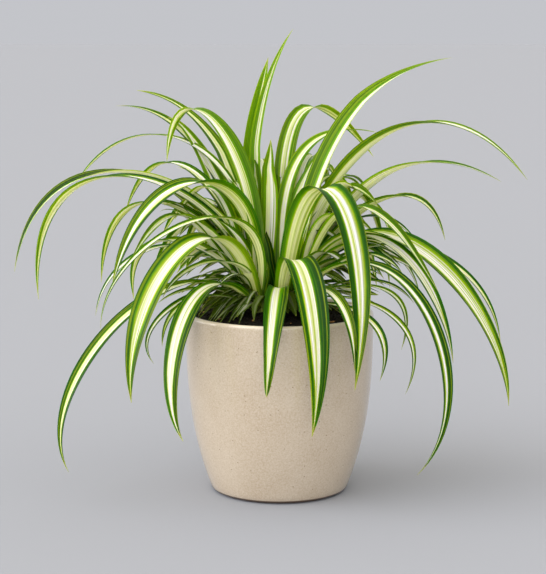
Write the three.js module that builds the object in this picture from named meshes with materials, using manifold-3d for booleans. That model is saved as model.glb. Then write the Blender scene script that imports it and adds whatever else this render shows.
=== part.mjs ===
// Potted spider plant: a glazed stoneware pot, the soil that fills it and five leafy tufts.
// Millimetres, +Z up. The pot stands on z = 0 round the Z axis, and its front looks along -Y.
import * as THREE from 'three';
import { mergeVertices } from 'three/addons/utils/BufferGeometryUtils.js';
import Module from 'manifold-3d';

const wasm = await Module();
wasm.setup();

// Pot
const POT_HEIGHT = 144.5;
const RIM_RADIUS = 75;
const FOOT_RADIUS = 54;
const BELLY_POWER = 2.8;
const WALL = 5;
const FLOOR = 9;
const FLOOR_FILLET = 3;
const FOOT_INSET = 3.5;
const FOOT_HEIGHT = 2.2;
const LIP_HEIGHT = 4;
const ROUND_STEPS = 40;
const WALL_LEVELS = [13, 24, 37, 53, 73, 98];

// Soil
const SEAT_GAP = 0.3;
const SOIL_EDGE = 138.5;
const SOIL_MOUND = 8;
const CRUMB = 0.9;
const SOIL_RINGS = 6;

// Tufts: each grows from a crown in the soil and keeps to its own sector round the plant's middle
const PLANT_X = -5;
const CROWN_OFFSET = 15;
const CROWN_RADIUS = 6;
const CROWN_FOOT = 130.5;
const CROWN_TOP = 158;
const CROWN_SIDES = 8;
const HOLE_CLEARANCE = 0.7;
const HOLE_FOOT = 129.5;
const ROOT_HEIGHT = 149;
const ROOT_OFFSET = 3.5;
const SECTOR_CLEARANCE = 0.5;

// Blades
const BLADE_THICKNESS = 1.3;
const CHANNEL = 0.28;
const BASE_WIDTH = 0.42;
const WIDEST_AT = 0.48;
const TAPER_POWER = 1.9;
const STEP_LENGTH = 30;
const MIN_STEPS = 5;
const MAX_STEPS = 9;

// Slivers that joining the blades leaves
const SHORTEST_EDGE = 0.06;
const FLATTEST = 0.012;
const TIDY_PASSES = 8;

const UP = new THREE.Vector3(0, 0, 1);
const radians = THREE.MathUtils.degToRad;
const clamp = THREE.MathUtils.clamp;
const lerp = THREE.MathUtils.lerp;

const glaze = new THREE.MeshStandardMaterial({ color: 0xcbbea8, roughness: 0.35, metalness: 0 });
const earth = new THREE.MeshStandardMaterial({ color: 0x33261c, roughness: 0.95, metalness: 0 });
const leaf = new THREE.MeshStandardMaterial({ color: 0x6f9a45, roughness: 0.45, metalness: 0 });

/** Numbers from 0 to 1, the same on every run. */
function seededRandom(seed) {
  let state = seed >>> 0;
  return () => {
    state = (Math.imul(state, 1664525) + 1013904223) >>> 0;
    return state / 4294967296;
  };
}

/** A closed geometry's solid. */
function solidOf(geometry) {
  const bare = geometry.clone();
  bare.deleteAttribute('normal');
  bare.deleteAttribute('uv');
  const merged = mergeVertices(bare, 1e-4);
  return meshSolid(merged.attributes.position.array, merged.index.array);
}

function meshSolid(positions, indices) {
  return new wasm.Manifold(new wasm.Mesh({
    numProp: 3,
    vertProperties: new Float32Array(positions),
    triVerts: new Uint32Array(indices),
  }));
}

/** A closed surface of triangles whose slivers can be taken out. */
class Surface {
  constructor(points, faces) {
    this.points = points;
    this.faces = faces;
    this.around = points.map(() => new Set());
    faces.forEach((face, index) => face.forEach((vertex) => this.around[vertex].add(index)));
  }

  neighbours(vertex) {
    return new Set([...this.around[vertex]].flatMap((index) => this.faces[index]).filter((v) => v !== vertex));
  }

  normal([a, b, c]) {
    const [p, q, r] = [this.points[a], this.points[b], this.points[c]];
    return q.clone().sub(p).cross(r.clone().sub(p));
  }

  replaceFace(index, face) {
    this.faces[index].forEach((vertex) => this.around[vertex].delete(index));
    this.faces[index] = face;
    face.forEach((vertex) => this.around[vertex].add(index));
  }

  /** Closes an edge onto its first end, unless that would pinch or fold the surface. */
  closeEdge(kept, gone) {
    const shared = [...this.neighbours(kept)].filter((vertex) => this.neighbours(gone).has(vertex));
    if (shared.length !== 2) {
      return false;
    }
    const moved = [...this.around[gone]].filter((index) => !this.faces[index].includes(kept));
    const renamed = moved.map((index) => this.faces[index].map((vertex) => (vertex === gone ? kept : vertex)));
    const folds = moved.some((index, i) => this.normal(this.faces[index]).dot(this.normal(renamed[i])) <= 0);
    if (folds) {
      return false;
    }
    [...this.around[gone]].filter((index) => this.faces[index].includes(kept))
      .forEach((index) => this.replaceFace(index, []));
    moved.forEach((index, i) => this.replaceFace(index, renamed[i]));
    return true;
  }

  /** Turns the long edge of a flat triangle across, so that the flat triangle and its neighbour fill out. */
  turnEdge(index) {
    const face = this.faces[index];
    const lengths = face.map((vertex, i) => this.points[vertex].distanceTo(this.points[face[(i + 1) % 3]]));
    const longest = lengths.indexOf(Math.max(...lengths));
    const [a, b, c] = [face[longest], face[(longest + 1) % 3], face[(longest + 2) % 3]];
    if (this.normal(face).length() / lengths[longest] > FLATTEST) {
      return false;
    }
    const other = [...this.around[a]].find((i) => i !== index && this.faces[i].includes(b));
    const d = this.faces[other].find((vertex) => vertex !== a && vertex !== b);
    if (this.neighbours(c).has(d)) {
      return false;
    }
    const before = this.normal(this.faces[other]);
    const turned = [[a, d, c], [d, b, c]];
    if (turned.some((next) => this.normal(next).dot(before) <= 0)) {
      return false;
    }
    this.replaceFace(index, turned[0]);
    this.replaceFace(other, turned[1]);
    return true;
  }

  /** Takes out short edges and flat triangles until none is left that can go. */
  tidy() {
    for (let pass = 0; pass < TIDY_PASSES; pass += 1) {
      let changes = 0;
      for (let index = 0; index < this.faces.length; index += 1) {
        for (const [i, j] of [[0, 1], [1, 2], [2, 0]]) {
          const [u, v] = [this.faces[index][i], this.faces[index][j]];
          const short = u !== undefined && this.points[u].distanceTo(this.points[v]) < SHORTEST_EDGE;
          if (short && (this.closeEdge(u, v) || this.closeEdge(v, u))) {
            changes += 1;
            break;
          }
        }
        if (this.faces[index].length === 3 && this.turnEdge(index)) {
          changes += 1;
        }
      }
      if (changes === 0) {
        break;
      }
    }
    this.faces = this.faces.filter((face) => face.length === 3);
  }

  /** The surface's separate shells, each with the volume it holds: a sealed hollow's is negative. */
  shells() {
    const parent = this.points.map((_, index) => index);
    const rootOf = (index) => {
      let root = index;
      while (parent[root] !== root) {
        root = parent[root];
      }
      parent[index] = root;
      return root;
    };
    this.faces.forEach(([a, b, c]) => {
      parent[rootOf(b)] = rootOf(a);
      parent[rootOf(c)] = rootOf(a);
    });
    const shells = new Map();
    for (const face of this.faces) {
      const shell = shells.get(rootOf(face[0])) ?? { volume: 0, faces: [] };
      shell.volume += this.points[face[0]].dot(this.points[face[1]].clone().cross(this.points[face[2]])) / 6;
      shell.faces.push(face);
      shells.set(rootOf(face[0]), shell);
    }
    return [...shells.values()];
  }
}

/** A solid's outer surface: sealed hollows are filled, and loose scraps and slivers dropped. */
function geometryOf(solid) {
  const mesh = solid.getMesh();
  const points = [];
  for (let i = 0; i < mesh.vertProperties.length; i += 3) {
    points.push(new THREE.Vector3().fromArray(mesh.vertProperties, i));
  }
  const faces = [];
  for (let i = 0; i < mesh.triVerts.length; i += 3) {
    faces.push([...mesh.triVerts.slice(i, i + 3)]);
  }
  const surface = new Surface(points, faces);
  surface.tidy();
  const outer = surface.shells().reduce((best, shell) => (shell.volume > best.volume ? shell : best));
  const geometry = new THREE.BufferGeometry();
  geometry.setAttribute('position', new THREE.BufferAttribute(new Float32Array(mesh.vertProperties), 3));
  geometry.setIndex(outer.faces.flat());
  geometry.computeVertexNormals();
  return geometry;
}

/** A body turned round Z from a profile of [radius, height] points that starts and ends on the axis. */
function turned(profile, sides) {
  const geometry = new THREE.LatheGeometry(profile.map(([r, z]) => new THREE.Vector2(r, z)), sides);
  geometry.rotateX(Math.PI / 2);
  return geometry;
}

function potRadius(z) {
  return RIM_RADIUS - (RIM_RADIUS - FOOT_RADIUS) * (1 - z / POT_HEIGHT) ** BELLY_POWER;
}

function innerRadius(z) {
  return potRadius(z) - WALL;
}

function makePot() {
  const foot = [[0, 0], [FOOT_RADIUS - FOOT_INSET, 0], [potRadius(FOOT_HEIGHT) - 1.6, 0.8]];
  const outside = [FOOT_HEIGHT, ...WALL_LEVELS, POT_HEIGHT - LIP_HEIGHT].map((z) => [potRadius(z), z]);
  const lipMiddle = RIM_RADIUS - WALL / 2;
  const lip = [45, 90, 135].map((angle) => [
    lipMiddle + (WALL / 2) * Math.cos(radians(angle)),
    POT_HEIGHT - WALL / 2 + (WALL / 2) * Math.sin(radians(angle)),
  ]);
  const inside = [POT_HEIGHT - LIP_HEIGHT, ...[...WALL_LEVELS].reverse()]
    .filter((z) => z > FLOOR + FLOOR_FILLET)
    .map((z) => [innerRadius(z), z]);
  const bottom = [[innerRadius(FLOOR) - FLOOR_FILLET, FLOOR], [0, FLOOR]];
  const mesh = new THREE.Mesh(turned([...foot, ...outside, ...lip, ...inside, ...bottom], ROUND_STEPS), glaze);
  mesh.name = 'pot';
  return mesh;
}

/** Height of the soil's crumbly, mounded top. */
function soilHeight(x, y) {
  const mound = SOIL_MOUND * (1 - (x * x + y * y) / (RIM_RADIUS * RIM_RADIUS));
  const crumbs = Math.sin(x * 0.43 + 1.3) * Math.cos(y * 0.39 - 0.6) + 0.6 * Math.sin(x * 0.83 - y * 0.71);
  return SOIL_EDGE + mound + CRUMB * crumbs;
}

function makeSoil(tufts) {
  const levels = WALL_LEVELS.filter((z) => z > FLOOR + FLOOR_FILLET);
  const side = [...levels, SOIL_EDGE].map((z) => [innerRadius(z) - SEAT_GAP, z]);
  const edge = innerRadius(SOIL_EDGE) - SEAT_GAP;
  const top = [];
  for (let ring = 1; ring <= SOIL_RINGS; ring += 1) {
    top.push([edge * (1 - ring / SOIL_RINGS), SOIL_EDGE + 1]);
  }
  const bottom = [[0, FLOOR + SEAT_GAP], [innerRadius(FLOOR) - FLOOR_FILLET - SEAT_GAP, FLOOR + SEAT_GAP]];
  const geometry = turned([...bottom, ...side, ...top], ROUND_STEPS);
  const position = geometry.attributes.position;
  for (let i = 0; i < position.count; i += 1) {
    if (position.getZ(i) > SOIL_EDGE + 0.5) {
      position.setZ(i, soilHeight(position.getX(i), position.getY(i)));
    }
  }
  let solid = solidOf(geometry);
  for (const tuft of tufts) {
    const hole = new THREE.CylinderGeometry(
      CROWN_RADIUS + HOLE_CLEARANCE, CROWN_RADIUS + HOLE_CLEARANCE, CROWN_TOP - HOLE_FOOT, CROWN_SIDES + 2);
    hole.rotateX(Math.PI / 2);
    hole.translate(tuft.crown.x, tuft.crown.y, (CROWN_TOP + HOLE_FOOT) / 2);
    solid = solid.subtract(solidOf(hole));
  }
  const mesh = new THREE.Mesh(geometryOf(solid), earth);
  mesh.name = 'soil';
  return mesh;
}

/** A blade by its middle and tip, its greatest width, the way it faces, and how it leaves the crown. */
function blade(middle, tip, width, faces, lean, rise) {
  return { middle: new THREE.Vector3(...middle), tip: new THREE.Vector3(...tip), width, faces, lean, rise };
}

/** The blade's centre line: it leaves its crown along a lean, passes its middle and ends at its tip. */
function centreLine(shape, tuft) {
  const away = new THREE.Vector3(shape.tip.x - PLANT_X, shape.tip.y, 0).normalize();
  const root = tuft.crown.clone().addScaledVector(away, ROOT_OFFSET);
  const toMiddle = shape.middle.clone().sub(root);
  const level = new THREE.Vector3(toMiddle.x, toMiddle.y, 0).normalize();
  const start = level.multiplyScalar(Math.sin(radians(shape.lean))).addScaledVector(UP, Math.cos(radians(shape.lean)));
  const first = root.clone().addScaledVector(start, shape.rise * toMiddle.length());
  const second = shape.middle.clone().multiplyScalar(8).sub(root).sub(shape.tip).divideScalar(3).sub(first);
  return new THREE.CubicBezierCurve3(root, first, second, shape.tip);
}

/** Share of the full width along the blade: narrow at the base, widest before the middle, a fine tip. */
function widthShare(t) {
  const base = lerp(BASE_WIDTH, 1, THREE.MathUtils.smoothstep(t, 0, WIDEST_AT));
  const taper = t < WIDEST_AT ? 1 : 1 - ((t - WIDEST_AT) / (1 - WIDEST_AT)) ** TAPER_POWER;
  return base * taper;
}

/** Moves a point of a blade round the plant's middle, so that the blade stays in its tuft's sector. */
function keepInSector(point, halfWidth, tuft) {
  const x = point.x - PLANT_X;
  const radius = Math.hypot(x, point.y);
  const spare = Math.asin(Math.min(1, (halfWidth + SECTOR_CLEARANCE) / Math.max(radius, 1)));
  const limit = Math.max(0, tuft.halfAngle - spare);
  const turn = Math.atan2(point.y, x) - tuft.middleAngle;
  const wrapped = Math.atan2(Math.sin(turn), Math.cos(turn));
  const angle = tuft.middleAngle + clamp(wrapped, -limit, limit);
  return new THREE.Vector3(PLANT_X + radius * Math.cos(angle), radius * Math.sin(angle), point.z);
}

/** One blade as a thin solid with a shallow channel along its upper face. */
function bladeSolid(shape, tuft) {
  const curve = centreLine(shape, tuft);
  const steps = clamp(Math.round(curve.getLength() / STEP_LENGTH), MIN_STEPS, MAX_STEPS);
  const across = new THREE.Vector3(Math.sin(radians(shape.faces)), -Math.cos(radians(shape.faces)), 0);
  const positions = [];
  const indices = [];
  for (let i = 0; i < steps; i += 1) {
    const t = i / steps;
    const half = (shape.width / 2) * widthShare(t);
    const point = keepInSector(curve.getPointAt(t), half, tuft);
    const tangent = curve.getTangentAt(t);
    const side = across.clone().addScaledVector(tangent, -across.dot(tangent)).normalize();
    const upper = side.clone().cross(tangent);
    const thickness = BLADE_THICKNESS * Math.sqrt(widthShare(t));
    const lifted = point.clone().addScaledVector(upper, CHANNEL * half);
    positions.push(...lifted.clone().addScaledVector(side, -half).toArray());
    positions.push(...point.toArray());
    positions.push(...lifted.addScaledVector(side, half).toArray());
    positions.push(...point.clone().addScaledVector(upper, -thickness).toArray());
  }
  positions.push(...keepInSector(curve.getPoint(1), 0, tuft).toArray());
  const tip = 4 * steps;
  const last = tip - 4;
  indices.push(0, 3, 1, 1, 3, 2);
  for (let a = 0; a < last; a += 4) {
    for (const [from, to] of [[0, 1], [1, 2], [2, 3], [3, 0]]) {
      const flip = from >= 2;
      const [p, q] = [a + from, a + to];
      indices.push(...(flip ? [p, q, q + 4, p, q + 4, p + 4] : [p, q, p + 4, q, q + 4, p + 4]));
    }
  }
  indices.push(last, last + 1, tip, last + 1, last + 2, tip, last + 2, last + 3, tip, last + 3, last, tip);
  return meshSolid(positions, indices);
}

/** Leaves that fill a tuft out between the main ones, spread evenly over its sector. */
function fillingBlades(tuft, count, reach, crest, width, seed) {
  const random = seededRandom(seed);
  const blades = [];
  for (let i = 0; i < count; i += 1) {
    const share = ((i + 0.5) * 0.618) % 1;
    const angle = tuft.middleAngle + (2 * share - 1) * 0.9 * tuft.halfAngle;
    const far = lerp(reach[0], reach[1], random());
    const high = lerp(crest[0], crest[1], random());
    const fall = far < RIM_RADIUS + 25 ? 0.25 * high : lerp(0.5, 1.3, random()) * high;
    const wide = lerp(width[0], width[1], random());
    const middle = [PLANT_X + 0.5 * far * Math.cos(angle), 0.5 * far * Math.sin(angle), ROOT_HEIGHT + high];
    const tip = [PLANT_X + far * Math.cos(angle), far * Math.sin(angle), ROOT_HEIGHT + high - fall];
    const faces = THREE.MathUtils.radToDeg(angle) + lerp(-25, 25, random());
    blades.push(blade(middle, tip, wide, faces, 10, 0.8));
  }
  return blades;
}

function makeTuft(name, fromAngle, toAngle) {
  const middleAngle = radians((fromAngle + toAngle) / 2);
  const crown = new THREE.Vector3(
    PLANT_X + CROWN_OFFSET * Math.cos(middleAngle), CROWN_OFFSET * Math.sin(middleAngle), ROOT_HEIGHT);
  return { name, crown, middleAngle, halfAngle: radians((toAngle - fromAngle) / 2), blades: [] };
}

function tuftMesh(tuft) {
  const stub = turned([
    [0, CROWN_FOOT], [CROWN_RADIUS - 1, CROWN_FOOT], [CROWN_RADIUS, CROWN_FOOT + 3],
    [CROWN_RADIUS, ROOT_HEIGHT + 3], [CROWN_RADIUS - 1.5, CROWN_TOP - 2], [0, CROWN_TOP],
  ], CROWN_SIDES);
  stub.translate(tuft.crown.x, tuft.crown.y, 0);
  let solid = solidOf(stub);
  for (const shape of tuft.blades) {
    solid = solid.add(bladeSolid(shape, tuft));
  }
  const mesh = new THREE.Mesh(geometryOf(solid), leaf);
  mesh.name = tuft.name;
  return mesh;
}

const right = makeTuft('tuft_right', -22, 28);
right.blades.push(
  blade([38, 18, 273], [139, 45, 344], 17, 50, 0, 0.7),
  blade([79, 30, 279], [201, 35, 246], 12, 315, 0, 0.8),
  blade([73, 30, 242], [182, 50, 243], 11, 315, 15, 0.7),
  blade([70, 20, 224], [134, 25, 198], 13, 320, 10, 0.6),
  blade([80, -15, 223], [137, -20, 106], 13, 315, 10, 1.5),
  blade([68, 5, 206], [129, 5, 142], 15, 315, 15, 1.3),
  blade([109, -28, 197], [179, -40, 76], 20, 305, 15, 1.3),
  blade([108, 10, 194], [180, 20, 113], 11, 320, 25, 0.9),
  blade([65, 25, 190], [115, 30, 150], 9, 325, 20, 0.7),
  blade([59, -10, 170], [106, -15, 153], 7, 325, 40, 0.6),
  ...fillingBlades(right, 6, [95, 135], [30, 75], [5, 8], 11),
);

const back = makeTuft('tuft_back', 28, 122);
back.blades.push(
  blade([-24, 45, 244], [-9, 65, 344], 13, 94, 40, 0.6),
  blade([-16, 25, 258], [12, 40, 367], 12, 80, 25, 0.6),
  blade([-12, 28, 212], [-8, 26, 280], 16, 95, 20, 0.6),
  blade([6, 50, 269], [79, 85, 261], 16, 75, 40, 0.5),
  blade([8, 28, 245], [83, 62, 282], 13, 60, 0, 0.6),
  blade([10, 20, 215], [37, 30, 278], 11, 70, 10, 1),
  blade([31, 45, 199], [42, 60, 264], 6, 60, 40, 1.1),
  ...fillingBlades(back, 12, [110, 165], [55, 105], [10, 17], 23),
  ...fillingBlades(back, 4, [60, 95], [25, 60], [6, 9], 24),
);

const left = makeTuft('tuft_left', 122, 195);
left.blades.push(
  blade([-109, 30, 250], [-215, 25, 172], 14, 215, -5, 0.8),
  blade([-112, 5, 250], [-191, -10, 155], 12, 140, 0, 0.8),
  blade([-74, 60, 274], [-170, 75, 239], 8, 125, -10, 1),
  blade([-51, 50, 247], [-135, 70, 304], 10, 125, -5, 0.5),
  blade([-39, 45, 251], [-117, 65, 317], 10, 125, -20, 0.6),
  blade([-47, 35, 287], [-92, 50, 259], 16, 118, -15, 0.9),
  blade([-47, 40, 233], [-94, 65, 294], 18, 118, -20, 0.3),
  blade([-60, 30, 244], [-126, 40, 218], 12, 130, -5, 0.6),
  blade([-59, -4, 247], [-131, -25, 168], 20, 236, -10, 1.2),
  blade([-87, 10, 228], [-142, 0, 167], 10, 135, 10, 0.8),
  blade([-93, 0, 196], [-146, -10, 142], 6, 225, 20, 1),
  blade([-73, -10, 200], [-114, -25, 157], 9, 135, 0, 0.6),
  ...fillingBlades(left, 8, [90, 135], [30, 80], [5, 8], 35),
);

const frontLeft = makeTuft('tuft_front_left', 195, 250);
frontLeft.blades.push(
  blade([-66, -30, 220], [-138, -50, 139], 8, 240, -15, 1.5),
  blade([-76, -48, 198], [-113, -75, 86], 24, 240, 10, 1.5),
  blade([-125, -42, 142], [-164, -55, 26], 14, 235, 35, 0.9),
  blade([-72, -72, 150], [-73, -88, 59], 17, 250, 40, 1.3),
  blade([-59, -45, 163], [-90, -62, 127], 5, 235, 40, 0.5),
  blade([-45, -30, 188], [-90, -50, 163], 8, 240, -10, 1),
  blade([-56, -25, 166], [-94, -45, 158], 6, 235, 40, 0.7),
  blade([-72, -35, 160], [-97, -50, 111], 5, 235, 10, 0.8),
  ...fillingBlades(frontLeft, 7, [40, 72], [14, 30], [3, 5], 47),
);

const frontRight = makeTuft('tuft_front_right', 250, 338);
frontRight.blades.push(
  blade([42, -50, 242], [56, -95, 100], 22, 285, 5, 1.6),
  blade([21, -78, 179], [24, -98, 65], 24, 272, 10, 1.5),
  blade([-4, -80, 155], [-10, -96, 95], 20, 268, 0, 1),
  blade([37, -70, 171], [56, -88, 113], 11, 290, 40, 0.8),
  blade([108, -62, 160], [105, -75, 29], 12, 300, 35, 1.3),
  blade([65, -40, 171], [93, -60, 124], 4, 310, 40, 0.5),
  blade([70, -50, 158], [96, -68, 91], 4, 310, 40, 0.5),
  blade([51, -62, 157], [76, -72, 102], 6, 305, 40, 0.3),
  ...fillingBlades(frontRight, 7, [40, 72], [14, 30], [3, 5], 59),
);

const tufts = [right, back, left, frontLeft, frontRight];
const plant = new THREE.Group();
plant.name = 'potted_spider_plant';
plant.add(makePot(), makeSoil(tufts), ...tufts.map(tuftMesh));

export default plant;
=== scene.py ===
"""Potted spider plant: striped leaves in five tufts, potting soil and a speckled stoneware pot."""

import logging
import math
from collections.abc import Callable, Iterator, Sequence
from dataclasses import dataclass, field
from enum import Enum
from functools import partial

import bpy
import numpy as np
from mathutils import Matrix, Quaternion, Vector


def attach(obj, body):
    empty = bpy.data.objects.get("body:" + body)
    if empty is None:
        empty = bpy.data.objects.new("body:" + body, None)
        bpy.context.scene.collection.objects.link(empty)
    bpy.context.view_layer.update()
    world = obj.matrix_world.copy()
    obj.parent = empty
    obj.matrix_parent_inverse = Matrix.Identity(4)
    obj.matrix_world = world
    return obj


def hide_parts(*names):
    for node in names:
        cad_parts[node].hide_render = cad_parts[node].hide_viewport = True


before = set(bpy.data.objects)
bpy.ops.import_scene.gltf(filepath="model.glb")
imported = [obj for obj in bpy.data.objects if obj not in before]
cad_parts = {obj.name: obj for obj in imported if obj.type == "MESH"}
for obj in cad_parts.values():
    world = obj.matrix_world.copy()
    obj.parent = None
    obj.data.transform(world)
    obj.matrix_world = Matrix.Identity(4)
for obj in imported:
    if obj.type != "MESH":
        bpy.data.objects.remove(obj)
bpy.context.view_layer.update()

log = logging.getLogger("spider_plant")

MM = 0.001
PHOTO_HEIGHT_PX = 574
BLADE_MAP = "blade"
UNDERSIDE = "underside"
CHANCE = "blade_chance"
STRIPE = "blade_stripe"
SHIFT = "blade_shift"
# Per blade: above 0 the lime of a young leaf, partly painted light; below 0 painted shade
YOUTH_OR_SHADE = "blade_youth_or_shade"

# The plant's sizes in millimetres, as the pot, soil and tufts were built
POT_HEIGHT = 144.5
RIM_RADIUS = 75.0
FOOT_RADIUS = 54.0
BELLY_POWER = 2.8
WALL = 5.0
FLOOR = 9.0
PLANT_X = -5.0
CROWN_OFFSET = 15.0
CROWN_RADIUS = 6.0
ROOT_HEIGHT = 149.0
ROOT_OFFSET = 3.5
SOIL_EDGE = 138.5
SOIL_MOUND = 8.0

# The linear congruential generator behind every seeded draw, and the first tuft's own seed
DRAW_FACTOR = 1664525
DRAW_ADDED = 1013904223
DRAW_RANGE = 2 ** 32
FIRST_TUFT_SEED = 101

Point = tuple[float, float, float]
Range = tuple[float, float]


def linear(colour: str) -> tuple[float, float, float, float]:
    """Turns an sRGB hex colour into linear light.

    Args:
        colour: Six hex digits, such as "c9bca6".

    Returns:
        Red, green, blue and alpha in linear light.
    """
    parts = [int(colour[i:i + 2], 16) / 255 for i in (0, 2, 4)]
    light = [c / 12.92 if c <= 0.04045 else ((c + 0.055) / 1.055) ** 2.4 for c in parts]
    return (light[0], light[1], light[2], 1.0)


def per_mm(size: float) -> float:
    """Returns the texture scale that gives a pattern a size in millimetres on Object coordinates."""
    return 1.0 / (size * MM)


def lerp(low: float, high: float, share: float) -> float:
    """Returns the value a share of the way from low to high."""
    return low + (high - low) * share


def smooth_step(value: float, low: float, high: float) -> float:
    """Returns 0 below low, 1 above high and an S-curve between."""
    share = min(1.0, max(0.0, (value - low) / (high - low)))
    return share * share * (3.0 - 2.0 * share)


def seeded_numbers(seed: int) -> Iterator[float]:
    """Yields numbers from 0 to 1 that are the same on every run.

    Args:
        seed: Where the run of numbers starts.

    Yields:
        The next number.
    """
    state = seed
    while True:
        state = (state * DRAW_FACTOR + DRAW_ADDED) % DRAW_RANGE
        yield state / DRAW_RANGE


def add_node(tree: bpy.types.NodeTree, kind: str, inputs: dict | None = None,
             stops: Sequence[tuple[float, str]] = (), out: int | str = 0,
             **settings: object) -> bpy.types.NodeSocket:
    """Adds a shader node with its settings and links.

    Args:
        tree: The material's node tree.
        kind: The node's type name.
        inputs: Socket name or number to a value, or to the output that feeds it.
        stops: Places and colours of a colour ramp.
        out: Which of its outputs is used.
        settings: Properties of the node itself.

    Returns:
        The output that is used.
    """
    node = tree.nodes.new(kind)
    for name, value in settings.items():
        setattr(node, name, value)
    for name, value in (inputs or {}).items():
        if isinstance(value, bpy.types.NodeSocket):
            tree.links.new(value, node.inputs[name])
        else:
            node.inputs[name].default_value = value
    ramp = node.color_ramp.elements if stops else None
    for index, (place, colour) in enumerate(stops):
        stop = ramp[index] if index < 2 else ramp.new(place)
        stop.position = place
        stop.color = linear(colour)
    return node.outputs[out]


def fresh_material(name: str) -> tuple[bpy.types.Material, bpy.types.NodeTree, bpy.types.Node]:
    """Makes a material that holds only its principled shader.

    Args:
        name: The finish's name.

    Returns:
        The material, its node tree and its shader node.
    """
    material = bpy.data.materials.new(name)
    material.use_nodes = True
    tree = material.node_tree
    return material, tree, tree.nodes["Principled BSDF"]


def only(piece: bpy.types.Object) -> None:
    """Leaves one piece alone selected and active.

    Args:
        piece: The piece that the next operators act on.
    """
    bpy.ops.object.select_all(action="DESELECT")
    piece.select_set(True)
    bpy.context.view_layer.objects.active = piece


def smoothed(piece: bpy.types.Object, degrees: float) -> None:
    """Shades a piece smooth, except across edges sharper than the angle."""
    only(piece)
    bpy.ops.object.shade_smooth_by_angle(angle=math.radians(degrees))


def joined(pieces: Sequence[bpy.types.Object], name: str) -> bpy.types.Object:
    """Joins pieces into one that sits at the origin.

    Args:
        pieces: What is joined, the first one keeping its place.
        name: The joined piece's name.

    Returns:
        The joined piece.
    """
    only(pieces[0])
    for piece in pieces[1:]:
        piece.select_set(True)
    bpy.ops.object.join()
    whole = bpy.context.view_layer.objects.active
    whole.name = name
    whole.data.name = name
    only(whole)
    bpy.ops.object.transform_apply(location=True, rotation=True, scale=True)
    return whole


def placed(piece: bpy.types.Object, node: str) -> None:
    """Says which body a piece rides on and hides the solid that it stands for.

    Args:
        piece: The finished piece.
        node: The solid that it stands for.
    """
    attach(piece, "root")
    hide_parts(node)
    log.info("%s: %d faces for %s", piece.name, len(piece.data.polygons), node)


@dataclass(frozen=True)
class Dots:
    """Sparse round dots, one in some cells of an even scatter.

    The radius is a share of a cell, and a dot has its full colour up to the core, a share of its radius.
    """

    colour: str
    cell_mm: float
    radius: float
    left_out: float
    strength: float
    core: float = 0.5


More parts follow.
